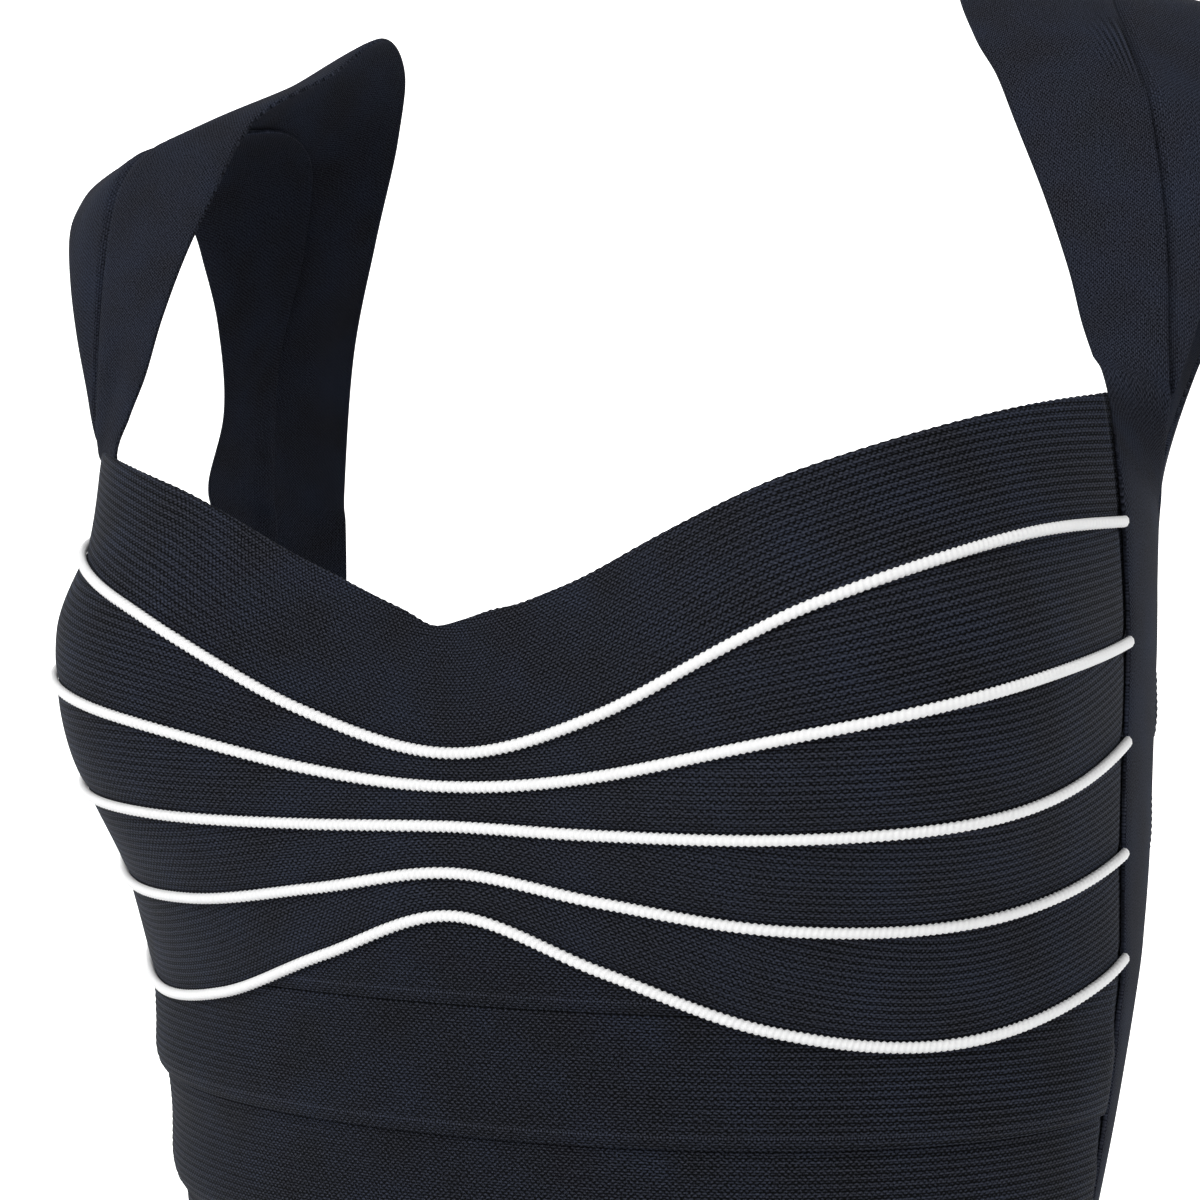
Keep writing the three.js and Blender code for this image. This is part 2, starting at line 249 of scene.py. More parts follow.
def side_at(height):
    return section_at(height)[..., 0]


def seam_angle(height):
    return np.radians(section_at(height)[..., 4])


def line_level(heights, right=None):
    """A curved front line's height as a function of the angle, alike on both sides unless the
    wearer's right has heights of its own."""
    rows = [(-a, h) for a, h in zip(LINE_ANGLES[:0:-1], (right or heights)[:0:-1])]
    rows += list(zip(LINE_ANGLES, heights))
    level = smooth_table(rows)
    return lambda angle: level(np.degrees(angle))[..., 0]


def body_point(angle, height):
    side, front, back, bust, _ = np.moveaxis(section_at(height), -1, 0)
    across, along = np.sin(angle), np.cos(angle)
    depth = np.where(along > 0, front, back)
    reach = (np.abs(across) / side) ** ROUNDNESS + (np.abs(along) / depth) ** ROUNDNESS
    oval = reach ** (-1 / ROUNDNESS)
    from_apex = (np.abs(np.arctan2(across, along)) - BUST_ANGLE) / BUST_SPREAD
    radius = oval + bust * np.exp(-(from_apex**2))
    return np.stack([radius * across, -radius * along, height + 0 * radius], -1)


def unit(vectors):
    return vectors / np.linalg.norm(vectors, axis=-1, keepdims=True)


def body_normal(angle, height):
    step = 0.01
    across = body_point(angle + step, height) - body_point(angle - step, height)
    up = body_point(angle, height + 1) - body_point(angle, height - 1)
    return unit(np.cross(across, up))


def ease(angle, height):
    """How far the worn cloth stands off its even form: slow waves all round, and the creases."""
    out = 0.22 * np.sin(3 * angle + 0.6) * np.sin(height / 37 + 1.1)
    out += 0.16 * np.sin(5 * angle - 1.3 + height / 90) * np.cos(height / 23)
    for turn, level, half_length, half_width, slope, depth in CREASES:
        apart = np.degrees(angle) - turn
        apart = (apart + 180) % 360 - 180
        along = np.radians(apart) * side_at(height) * 0.9
        bow = 0.0016 * along**2 * np.sign(slope)
        off = height - level - slope * along - bow
        fade = np.exp(-((along / half_length) ** 2)) * np.exp(-((off / half_width) ** 2))
        out -= depth * fade * (1 + 0.25 * np.sin(along / 9 + turn))
    return out


def on_body(angle, height, out):
    return body_point(angle, height) + body_normal(angle, height) * (out + ease(angle, height))[..., None]


def front_angle(share, height):
    return share * (seam_angle(height) + UNDER_STRIP / side_at(height))


def back_angle(share, height):
    edge = seam_angle(height) + (STRIP_WIDTH - UNDER_STRIP) / side_at(height)
    return math.pi + share * (math.pi - edge)


def meet(share, angle_at, level_at):
    """Angle and height where a share of the way across meets a line."""
    height = np.zeros(np.broadcast(share, level_at(share * 0)).shape)
    for _ in range(5):
        height = level_at(angle_at(share, height))
    return angle_at(share, height), height


# Meshes


def add_mesh(name, points, faces, uv, material):
    mesh = bpy.data.meshes.new(name)
    mesh.from_pydata((points - (0, 0, BUST_DROP)) * MM, [], faces)
    mesh.uv_layers.new(name="knit")
    corner = np.zeros(len(mesh.loops), int)
    mesh.loops.foreach_get("vertex_index", corner)
    mesh.uv_layers["knit"].data.foreach_set("uv", uv[corner].astype(np.float32).ravel())
    mesh.polygons.foreach_set("use_smooth", np.ones(len(mesh.polygons), bool))
    mesh.materials.append(material)
    mesh.update()
    made = bpy.data.objects.new(name, mesh)
    bpy.context.scene.collection.objects.link(made)
    return made


def swept(rings, uv, flip=False):
    """Points, faces and UVs of a closed body from rings of points, both of its ends capped."""
    count, around = rings.shape[:2]
    index = np.arange(count * around).reshape(count, around)
    ahead = np.roll(index, -1, 1)
    quads = np.stack([index[:-1], index[1:], ahead[1:], ahead[:-1]], -1).reshape(-1, 4)
    faces = quads.tolist() + [index[0].tolist(), index[-1][::-1].tolist()]
    if flip:
        faces = [face[::-1] for face in faces]
    return rings.reshape(-1, 3), faces, uv.reshape(-1, 2)


def section_ring(rows, inner_rows):
    """Points round the cross-section of a sheet: the share of the way across, millimetres added to
    it, and the share of the thickness inwards. The outer face goes across and the inner one back."""
    turn = np.radians([22.5, 45, 67.5, 90, 112.5, 135, 157.5])
    round_off = EDGE_RADIUS * (1 - np.sin(turn))
    depth = (1 - np.cos(turn)) / 2
    outer = np.linspace(0, 1, rows)
    inner = np.linspace(1, 0, inner_rows)
    share = np.concatenate([outer, np.ones(len(turn)), inner, np.zeros(len(turn))])
    inset = EDGE_RADIUS * (1 - 2 * outer), -round_off, -EDGE_RADIUS * (2 * inner - 1), round_off[::-1]
    inward = 0 * outer, depth, 0 * inner + 1, depth[::-1]
    return share[:, None], np.concatenate(inset)[:, None], np.concatenate(inward)[:, None]


def arc(points):
    """Distance along rows of points, from the first one of each row."""
    steps = np.linalg.norm(np.diff(points, axis=-2), axis=-1)
    return np.concatenate([np.zeros(steps.shape[:-1] + (1,)), np.cumsum(steps, -1)], -1)


def area_under(values, along):
    return float(((values[1:] + values[:-1]) / 2 * np.diff(along)).sum())


def smooth(low, high, x):
    x = np.clip((x - low) / (high - low), 0, 1)
    return x * x * (3 - 2 * x)


def from_end(share, angle_at, height):
    """Millimetres from the end of a band, which lies under a side strip."""
    return np.abs(angle_at(np.sign(share), height) - angle_at(share, height)) * side_at(height)


def band(name, angle_at, low, high, columns, rows, profile, material, span=1.0, free_ends=False):
    """A band of cloth between two lines round the body. profile gives how far its outer face stands
    off the form, from the distance above its lower edge, the height of the band and the share across."""
    share = span * np.sin(np.linspace(-1, 1, columns) * END_CROWDING) / math.sin(END_CROWDING)
    part, inset, inward = section_ring(rows, INNER_ROWS)

    def level(angle):
        return low(angle) + part * (high(angle) - low(angle)) + inset

    angle, height = meet(share[None, :] + 0 * part, angle_at, level)
    tall = high(angle) - low(angle)
    above = part * tall + inset
    end = from_end(share[None, :], angle_at, height) + (100 if free_ends else 0)
    outer, thick = profile(above, tall, share[None, :] / span, end)
    sunk = BAND_SINK * (1 - smooth(UNDER_STRIP, UNDER_STRIP + SINK_RAMP, end))
    out = outer - sunk + CLOTH - inward * thick
    points = on_body(angle, height, out)

    base_angle, base_height = meet(share, angle_at, lambda a: low(a))
    base = body_point(base_angle, base_height)
    along = arc(base)
    rise = np.gradient(base[:, 2], along)
    slope = np.arcsin(np.clip(rise, -0.9, 0.9))
    u = along - along[columns // 2] + above * np.sin(slope)
    v = above * np.cos(slope)
    rings, uv = points.transpose(1, 0, 2), np.stack([u, v], -1).transpose(1, 0, 2)
    made = add_mesh(name, *swept(rings, uv), material)

    middle = on_body(*meet(share, angle_at, lambda a: (low(a) + high(a)) / 2), np.full(columns, CLOTH))
    upright = on_body(angle, height, 0 * height + CLOTH)[:rows]
    length = arc(middle)[-1]
    heights = arc(upright.transpose(1, 0, 2))[:, -1] + 2 * EDGE_RADIUS
    shown = area_under(heights * np.cos(slope), arc(middle))
    flat_height = float((heights * np.cos(slope)).max())
    return made, (length / STRETCH * MM, flat_height * MM), shown / STRETCH * MM * MM


# Materials


def node(tree, kind, inputs=None, **settings):
    made = tree.nodes.new(kind)
    for key, value in settings.items():
        setattr(made, key, value)
    for key, value in (inputs or {}).items():
        if isinstance(value, bpy.types.NodeSocket):
            tree.links.new(value, made.inputs[key])
        else:
            made.inputs[key].default_value = value
    return made


def maths(tree, operation, *values):
    made = tree.nodes.new("ShaderNodeMath")
    made.operation = operation
    for i, value in enumerate(values):
        if isinstance(value, bpy.types.NodeSocket):
            tree.links.new(value, made.inputs[i])
        else:
            made.inputs[i].default_value = value
    return made.outputs[0]


def new_material(name):
    material = bpy.data.materials.new(name)
    material.use_nodes = True
    tree = material.node_tree
    tree.nodes.clear()
    output = tree.nodes.new("ShaderNodeOutputMaterial")
    shader = tree.nodes.new("ShaderNodeBsdfPrincipled")
    tree.links.new(shader.outputs[0], output.inputs["Surface"])
    return material, tree, shader


def wave(tree, position, pitch, phase=0.0):
    """A cosine of that pitch, from -1 to 1."""
    turned = maths(tree, "MULTIPLY_ADD", position, 2 * math.pi / pitch, phase)
    return maths(tree, "COSINE", turned)


DARK = (0.0020, 0.0022, 0.0028)
WARM_YARN = (0.0455, 0.0485, 0.0645)
COOL_YARN = (0.0395, 0.047, 0.073)


# How far a band's ridges are painted lighter on their crests and darker in their grooves: painted light
# and shade
RIDGE_PAINTED_SHADE = 0.25
SEAM_STITCHES_AT = 2.9
SEAM_STITCH_HALF = 0.4
GATHER_REACH = 11
GATHER_HALF_LENGTH = 12
GATHER_PITCH = 1.5
# How far the gathers are painted lighter on their crests and darker in their troughs: painted light and
# shade
GATHER_PAINTED_SHADE = 0.4
GATHER_DEPTH = 0.16


def knit_material(
    name,
    wale,
    course,
    tone,
    contrast,
    stitch_depth,
    nap,
    ridge_depth=0.0,
    seam_stitches=False,
    gathers=False,
):
    """Fine knit: staggered stitches of that wale and course pitch in millimetres, uneven dye and a
    soft nap. Low ridges run along a band, clearer towards its ends, with painted shade in their
    grooves and painted light on their crests, a row of stitches follows the lower seam, and a strap
    has gathers that fan out from its seam on top of the shoulder, with painted shade in their
    troughs and painted light on their crests."""
    material, tree, shader = new_material(name)
    uv = node(tree, "ShaderNodeUVMap", uv_map="knit")
    place = node(tree, "ShaderNodeSeparateXYZ", {0: uv.outputs[0]})
    u, v = place.outputs[0], place.outputs[1]
    wander = node(tree, "ShaderNodeTexNoise", {"Vector": uv.outputs[0], "Scale": 0.35, "Detail": 2.0})
    across = maths(tree, "MULTIPLY_ADD", wander.outputs[0], 0.9, u)
    up = maths(tree, "MULTIPLY_ADD", wander.outputs[0], 0.35, v)
    loops = maths(tree, "MULTIPLY", wave(tree, across, wale), wave(tree, up, course))
    lines = wave(tree, up, course / 2, 0.8)
    stitch = maths(tree, "ADD", maths(tree, "MULTIPLY", loops, 0.62), maths(tree, "MULTIPLY", lines, 0.38))
    fuzz = node(tree, "ShaderNodeTexNoise", {"Vector": uv.outputs[0], "Scale": 2.2, "Detail": 3.0})
    patch = node(tree, "ShaderNodeTexNoise", {"Vector": uv.outputs[0], "Scale": 0.055, "Detail": 2.5})

    lit = maths(tree, "MULTIPLY_ADD", stitch, 0.62 * contrast, tone)
    lit = maths(tree, "ADD", lit, maths(tree, "MULTIPLY_ADD", fuzz.outputs[0], 2 * contrast, -contrast))
    lit = maths(tree, "ADD", lit, maths(tree, "MULTIPLY_ADD", patch.outputs[0], 0.3, -0.15))
    height = maths(tree, "MULTIPLY", stitch, stitch_depth)
    height = maths(tree, "ADD", height, maths(tree, "MULTIPLY", fuzz.outputs[0], stitch_depth))
    if ridge_depth:
        from_centre = maths(tree, "MULTIPLY_ADD", maths(tree, "ABSOLUTE", u), 1 / 80, -0.45)
        near_end = node(tree, "ShaderNodeClamp", {0: from_centre}).outputs[0]
        strength = maths(tree, "MULTIPLY_ADD", near_end, 0.9, 0.1)
        ridge = maths(tree, "MULTIPLY", wave(tree, v, RIDGE_PITCH), strength)
        # Painted light on the ridges' crests and painted shade in their grooves, stronger towards the
        # band's ends
        lit = maths(tree, "MULTIPLY_ADD", ridge, RIDGE_PAINTED_SHADE, lit)
        height = maths(tree, "MULTIPLY_ADD", ridge, ridge_depth, height)
    if seam_stitches:
        off_row = maths(tree, "SUBTRACT", v, SEAM_STITCHES_AT)
        row = maths(tree, "MULTIPLY", off_row, 1 / SEAM_STITCH_HALF)
        row = maths(tree, "MAXIMUM", maths(tree, "SUBTRACT", 1.0, maths(tree, "MULTIPLY", row, row)), 0.0)
        dots = maths(tree, "MULTIPLY_ADD", wave(tree, across, wale / 2), 0.5, 0.35)
        lit = maths(tree, "MULTIPLY_ADD", maths(tree, "MULTIPLY", row, dots), 0.8, lit)
    if gathers:
        nearness = maths(tree, "MULTIPLY_ADD", v, 1 / GATHER_REACH, 1.0)
        from_seam = node(tree, "ShaderNodeClamp", {0: nearness}).outputs[0]
        off_top = maths(tree, "ABSOLUTE", maths(tree, "ADD", u, 3.0))
        fade = maths(tree, "MULTIPLY_ADD", off_top, -1 / GATHER_HALF_LENGTH, 1.3)
        on_top = node(tree, "ShaderNodeClamp", {0: fade}).outputs[0]
        fan = maths(tree, "MULTIPLY", v, maths(tree, "MULTIPLY_ADD", u, -0.03, 1.0))
        where = maths(tree, "MULTIPLY", from_seam, on_top)
        gather = maths(tree, "MULTIPLY", wave(tree, fan, GATHER_PITCH), where)
        # Painted light on the gathers' crests and painted shade in their troughs
        lit = maths(tree, "MULTIPLY_ADD", gather, GATHER_PAINTED_SHADE, lit)
        height = maths(tree, "MULTIPLY_ADD", gather, GATHER_DEPTH, height)
    lit = node(tree, "ShaderNodeClamp", {0: lit}).outputs[0]
    cool = node(tree, "ShaderNodeClamp", {0: maths(tree, "MULTIPLY_ADD", patch.outputs[0], 3.0, -1.0)})
    yarn = node(
        tree,
        "ShaderNodeMix",
        {0: cool.outputs[0], 6: (*WARM_YARN, 1), 7: (*COOL_YARN, 1)},
        data_type="RGBA",
    )
    colour = node(tree, "ShaderNodeMix", {0: lit, 6: (*DARK, 1), 7: yarn.outputs[2]}, data_type="RGBA")
    tree.links.new(colour.outputs[2], shader.inputs["Base Color"])

    bump = node(tree, "ShaderNodeBump", {"Height": height, "Strength": 1.0, "Distance": MM})
    tree.links.new(bump.outputs[0], shader.inputs["Normal"])
    tree.links.new(maths(tree, "MULTIPLY_ADD", stitch, -0.06, 0.84), shader.inputs["Roughness"])
    shader.inputs["Specular IOR Level"].default_value = 1.3 * nap
    shader.inputs["Sheen Weight"].default_value = nap
    shader.inputs["Sheen Roughness"].default_value = 0.45
    shader.inputs["Sheen Tint"].default_value = (0.62, 0.68, 0.8, 1)
    return material


def piping_material():
    material, tree, shader = new_material("white_piping_yarn")
    uv = node(tree, "ShaderNodeUVMap", uv_map="knit")
    place = node(tree, "ShaderNodeSeparateXYZ", {0: uv.outputs[0]})
    u, v = place.outputs[0], place.outputs[1]
    twist = maths(tree, "ADD", u, maths(tree, "MULTIPLY", v, 0.32))
    strand = wave(tree, twist, 1.5)
    fine = wave(tree, maths(tree, "ADD", u, maths(tree, "MULTIPLY", v, -0.5)), 0.5)
    fuzz = node(tree, "ShaderNodeTexNoise", {"Vector": uv.outputs[0], "Scale": 3.0, "Detail": 3.0})
    height = maths(tree, "MULTIPLY_ADD", strand, 0.02, maths(tree, "MULTIPLY", fine, 0.012))
    height = maths(tree, "ADD", height, maths(tree, "MULTIPLY", fuzz.outputs[0], 0.05))
    bump = node(tree, "ShaderNodeBump", {"Height": height, "Strength": 0.8, "Distance": MM})
    lit = node(tree, "ShaderNodeClamp", {0: maths(tree, "MULTIPLY_ADD", strand, 0.35, 0.65)})
    colour = node(
        tree,
        "ShaderNodeMix",
        {0: lit.outputs[0], 6: (0.87, 0.87, 0.875, 1), 7: (0.90, 0.90, 0.90, 1)},
        data_type="RGBA",
    )
    tree.links.new(colour.outputs[2], shader.inputs["Base Color"])
    tree.links.new(bump.outputs[0], shader.inputs["Normal"])
    tree.links.new(maths(tree, "MULTIPLY_ADD", fuzz.outputs[0], 0.2, 0.55), shader.inputs["Roughness"])
    shader.inputs["Specular IOR Level"].default_value = 0.3
    shader.inputs["Sheen Weight"].default_value = 0.2
    return material


# The level bands and the underbust crescent take a darker tone than the bust bands of the same knit:
# painted shade below the bust, where the cloth faces less of the light from above
band_knit = knit_material("band_knit", 1.4, 1.25, 0.20, 1.0, 0.10, 0.045, 0.10, seam_stitches=True)
bust_knit = knit_material("bust_knit", 1.4, 1.25, 0.27, 0.95, 0.10, 0.045, 0.12)
strip_knit = knit_material("strip_knit", 0.9, 0.9, 0.42, 0.75, 0.05, 0.018)
strap_knit = knit_material("strap_knit", 0.9, 0.9, 0.40, 0.75, 0.05, 0.018, gathers=True)
white_yarn = piping_material()


def finish_piece(piece, nodes):
    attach(piece, "root")
    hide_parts(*nodes)


def declare(made, name):
    piece, flat, area = made
    finish_piece(piece, [name])


# The level bands


def ridge_relief(above, tall, share):
    """Courses of the knit as low ridges along a band, stronger towards its ends."""
    depth = 0.035 + 0.085 * np.abs(share) ** 1.5
    window = np.clip((tall - above) / 4, 0, 1) * np.clip(above / 1.5, 0, 1)
    return depth * np.cos(2 * math.pi * above / RIDGE_PITCH) * window


def lapped_profile(above, tall, share, end):
    """Swells over its lower part, curls in at its lower edge, and dips under the band above."""
    fullness = (0.8 + 0.2 * np.abs(share) ** 2) * smooth(-2, 26, end)
    swell = swell_at(above)[..., 0]
    swell = np.where(swell > 1, 1 + (swell - 1) * fullness, swell)
    ridges = ridge_relief(above, tall, share)
    tuck = 0.4 * np.clip((above - tall + 5) / 3, 0, 1)
    thick = THICKNESS - 0.35 * np.exp(-((above / 1.6) ** 2))
    return swell + ridges - tuck, thick


def flat_line(height):
    return lambda angle: height + 0 * angle


def seam_level(number):
    return FIRST_SEAM - (number - 1) * BAND_PITCH


BAND_ROWS = RIDGES_PER_BAND * ROWS_PER_RIDGE
FRONT_COLUMNS = 72
BACK_COLUMNS = 60
piping_lines = [line_level(heights) for heights in PIPING_LINES]
smooth_neck_line = line_level(NECK_LINE, NECK_LINE_RIGHT)


def neck_line(angle):
    """The neckline as worn, with a soft point at the front and a finely notched edge."""
    turned = np.degrees(angle)
    height = smooth_neck_line(angle)
    for centre, half_width, lift in NECK_LINE_EASE:
        height = height + lift * np.exp(-(((turned - centre) / half_width) ** 2))
    along = angle * side_at(0)
    return height + PICOT * np.cos(2 * math.pi * along / PICOT_PITCH + np.sin(along / 6))


def under_piping(angle):
    line = piping_lines[4](angle) - SEAM_CLEARANCE
    return np.where(np.abs(angle) > BUST_ANGLE, line, np.minimum(FIRST_SEAM, line))


def level_band(name, angle_at, low, top, columns):
    made = band("knit_" + name, angle_at, low, top, columns, BAND_ROWS, lapped_profile, band_knit)
    declare(made, name)


for number in range(1, LOWER_BANDS + 1):
    top = under_piping if number == 1 else flat_line(seam_level(number) + LAP)
    low = flat_line(seam_level(number + 1))
    level_band(f"front_band_{number:02d}", front_angle, low, top, FRONT_COLUMNS)


def back_top(angle):
    turned = np.degrees(math.pi - np.abs(math.pi - angle))
    x = np.clip((turned - BACK_DIP_START) / (180 - BACK_DIP_START), 0, 1)
    return BACK_TOP - BACK_DIP * x * x * (3 - 2 * x)


for number in range(1, UPPER_BACK_BANDS + LOWER_BANDS + 1):
    seam = seam_level(number - UPPER_BACK_BANDS)
    top = back_top if number == 1 else flat_line(seam + LAP)
    low = flat_line(seam - BAND_PITCH)
    level_band(f"back_band_{number:02d}", back_angle, low, top, BACK_COLUMNS)


# The curved bands of the front, and their pipings


def sewn_profile(above, tall, share, end):
    """A little full between its two edges, which are sewn down under the pipings."""
    from_edge = np.minimum(above, tall - above)
    x = np.clip(from_edge / 4.5, 0, 1)
    crown = 0.35 * np.sin(math.pi * np.clip(above / tall, 0, 1))
    crown = crown * np.minimum(tall / 20, 1) * smooth(0, 14, end)
    return crown - 0.55 * (1 - x) ** 2, THICKNESS + 0 * above


def neck_profile(above, tall, share, end):
    """Sewn down along its lower edge and free along the neckline, where it turns in a little."""
    x = np.clip(above / 4.5, 0, 1)
    y = np.clip((tall - above) / 6, 0, 1)
    crown = 0.3 * np.sin(math.pi * np.clip(above / tall, 0, 1)) * smooth(0, 14, end)
    return crown - 0.55 * (1 - x) ** 2 - 0.25 * (1 - y) ** 2, THICKNESS + 0 * above


def shifted(level, amount):
    return lambda angle: level(angle) + amount


PIPING_WIDTH = 2.5
PIPING_DEPTH = 2.1
PIPING_CENTRE = CLOTH + 0.75
PIPING_END_GAP = 0.35
PIPING_STEPS = 1100
PIPING_SIDES = 9
SCALLOP_PITCH = 1.5
SCALLOP = 0.19


def piping_angle(share, height):
    return share * (seam_angle(height) - PIPING_END_GAP / side_at(height))


def piping_tube(level, share):
    """A flattened tube along a line of the front, its surface scalloped like a knitted edge."""
    angle, height = meet(share, piping_angle, level)
    step = 0.01
    ahead = body_point(angle + step, level(angle + step)) - body_point(angle - step, level(angle - step))
    forward = unit(ahead)
    outward = body_normal(angle, height)
    upward = unit(np.cross(outward, forward))
    middle = on_body(angle, height, 0 * angle + PIPING_CENTRE)
    along = arc(middle)
    turn = (np.arange(PIPING_SIDES) + 0.5) / PIPING_SIDES * 2 * math.pi
    uneven = 0.9 * np.sin(along / 7.3) + 0.6 * np.sin(along / 2.9)
    phase = 2 * math.pi * along[:, None] / SCALLOP_PITCH + uneven[:, None] + turn
    teeth = SCALLOP * np.cos(phase)
    up = np.cos(turn) * (PIPING_WIDTH / 2 + teeth)
    out = np.sin(turn) * (PIPING_DEPTH / 2 + 0.6 * teeth)
    rings = middle[:, None] + upward[:, None] * up[..., None] + outward[:, None] * out[..., None]
    u = along[:, None] + 0 * turn
    v = turn * PIPING_WIDTH / 2 + 0 * u
    return rings, np.stack([u, v], -1)


for number, level in enumerate(piping_lines, 1):
    rings, uv = piping_tube(level, np.linspace(-1, 1, PIPING_STEPS + 1))
    piece = add_mesh(f"yarn_piping_{number}", *swept(rings, uv, flip=True), white_yarn)
    finish_piece(piece, [f"piping_{number}"])

NECK_COLUMNS = 480
BUST_COLUMNS = 150
BUST_ROWS = 44
bust_lines = [neck_line, *piping_lines]
for number in range(len(bust_lines) - 1):
    name = f"front_bust_band_{number}" if number else "front_neck_band"
    high = shifted(bust_lines[number], -SEAM_CLEARANCE if number else -0.15)
    low = shifted(bust_lines[number + 1], SEAM_CLEARANCE)
    profile = sewn_profile if number else neck_profile
    columns = BUST_COLUMNS if number else NECK_COLUMNS
    made = band("knit_" + name, front_angle, low, high, columns, BUST_ROWS, profile, bust_knit)
    declare(made, name)

crescent = band(
    "knit_front_underbust_crescent",
    front_angle,
    flat_line(FIRST_SEAM + SEAM_CLEARANCE),
    shifted(piping_lines[4], -SEAM_CLEARANCE),
    60,
    40,
    sewn_profile,
    band_knit,
    span=CRESCENT_SPAN,
    free_ends=True,
)
declare(crescent, "front_underbust_crescent")


# The side strips that run on over the shoulders, and the armhole strips beside them

stations = []
for number in range(LOWER_BANDS + 1, 0, -1):
    stations.append(seam_level(number))
for row in range(1, BUST_SIDE_ROWS):
    stations.append(FIRST_SEAM + (UNDERARM - FIRST_SEAM) * row / BUST_SIDE_ROWS)


def side_station(height, scoop=0):
    height = np.float64(height)
    front = body_point(seam_angle(height), height)
    back_height = height - scoop
    back = body_point(seam_angle(height) + STRIP_WIDTH / side_at(height), back_height)
    return [*front, *back, *back]


def back_station(height, apart):
    height = np.float64(height)
    arm = seam_angle(height) + (STRIP_WIDTH + apart) / side_at(height)
    neck = body_point(math.radians(STRAP_BACK_NECK), height)
    seam = body_point(math.radians(STRAP_BACK_SEAM), height)
    return [*neck, *seam, *body_point(arm, height)]


side_rows = [side_station(height) for height in stations]
back_rows = [back_station(*row) for row in STRAP_BACK_ROWS]
FIRST_STRAP = len(side_rows) + 2
LAST_STATION = len(side_rows) + 1 + len(STRAP) + len(back_rows)


def strap_table(strap, corner, seam_edge, underarm_height):
    """Stations of one side from the hem over the shoulder, with its corner at the neckline."""
    underarm = side_station(underarm_height, UNDERARM_SCOOP)
    rows = [*side_rows, underarm, [*corner, *seam_edge, *seam_edge], *strap, *back_rows]
    return smooth_table([(index, *row) for index, row in enumerate(rows)])


corner_height = np.float64(CORNER_HEIGHT)
corner_left = body_point(seam_angle(corner_height) + CORNER_EASE / side_at(corner_height), corner_height)
left_rows = [*STRAP[:LIFTED_ROW], *STRAP_TOP_LEFT, *STRAP[LIFTED_ROW + len(STRAP_TOP_LEFT) :]]
left_strap = strap_table(left_rows, corner_left, CORNER_SEAM_EDGE, UNDERARM)
right_rows = [*STRAP_FOOT_RIGHT, *STRAP[len(STRAP_FOOT_RIGHT) :]]
right_strap = strap_table(right_rows, CORNER_RIGHT, CORNER_SEAM_EDGE_RIGHT, UNDERARM - UNDERARM_DROP_RIGHT)
NECK, SEAM, ARM = slice(0, 3), slice(3, 6), slice(6, 9)
ARMHOLE_START = FIRST_STRAP - 0.3
SHOULDER_TOP = 5.8
SEAM_DIP = 0.28
SEAM_DIP_WIDTH = 1.6
FOOT_SINK = 1.1
TUCK_GAP = 0.35


def strip_points(station_at, index, share, inward, first, second, trim, wrinkle):
    """Points of a strip at stations (rows) and round its cross-section (columns)."""
    here = station_at(index)
    a, b = here[:, first], here[:, second]
    across = b - a
    width = np.linalg.norm(across, axis=1, keepdims=True)
    step = 0.05
    ends = [station_at(np.clip(index + sign * step, 0, LAST_STATION)) for sign in (1, -1)]
    along = sum(sign * (end[:, first] + end[:, second]) for sign, end in zip((1, -1), ends))
    outward = unit(np.cross(across, along))
    crown = width**2 / (8 * STRIP_CROWN_RADIUS)
    part, inset = share
    spot = trim[0] / width + (1 - (trim[0] + trim[1]) / width) * part.T + inset.T / width
    from_edges = spot * width, (1 - spot) * width
    seam_dip = sum(SEAM_DIP * np.exp(-((from_edge / SEAM_DIP_WIDTH) ** 2)) for from_edge in from_edges)
    out = STRIP_RISE + CLOTH - inward.T * THICKNESS + crown * 4 * spot * (1 - spot) - seam_dip
    if trim[0] < 0:
        out = out - (THICKNESS + TUCK_GAP) * (1 - smooth(0.2, SEAM_TUCK, spot * width))
        out = out - FOOT_SINK * (1 - smooth(ARMHOLE_START, FIRST_STRAP + 1, index[:, None]))
    out = out + wrinkle(index[:, None], spot, width)
    points = a[:, None] + across[:, None] * spot[..., None]
    angle = np.arctan2(points[..., 0], -points[..., 1])
    on_form = np.clip((FIRST_STRAP - 3 - index[:, None]) / 4, 0, 1)
    out = out + ease(angle, points[..., 2]) * on_form
    points = points + outward[:, None] * out[..., None]
    middle = arc((a + b) / 2)
    u = middle[:, None] - np.interp(FIRST_STRAP + SHOULDER_TOP, index, middle) + 0 * spot
    v = spot * width if trim[0] < 0 else (spot - 1) * width
    return points, np.stack([u, v], -1), middle, width[:, 0]


# Dents where a strap pulls: row past the corner, half length in rows, share across, depth
STRAP_PULLS = [
    (1.2, 0.8, 0.62, 0.9),
    (11.4, 0.7, 0.4, 0.8),
]


def side_wrinkle(index, spot, width):
    """Folds of the strap: fine ones that hug the seam on top of the shoulder, soft ones below."""
    top = np.exp(-(((index - FIRST_STRAP - SHOULDER_TOP) / 1.5) ** 2))
    from_seam = (1 - spot) * width
    near = np.exp(-(((from_seam - 4.5) / 4.0) ** 2))
    fine = 0.32 * top * near * np.sin(2 * math.pi * from_seam / 2.1 + 0.5 * index)
    slow = 0.35 * np.sin(1.7 * index + 5 * spot) * np.sin(math.pi * spot)
    pulls = 0
    for row, half_rows, place, depth in STRAP_PULLS:
        along = np.exp(-(((index - FIRST_STRAP - row) / half_rows) ** 2))
        pulls = pulls - depth * along * np.exp(-(((spot - place) / 0.2) ** 2))
    on_strap = np.clip((index - FIRST_STRAP + 1) / 2, 0, 1)
    return fine + (slow + pulls) * on_strap


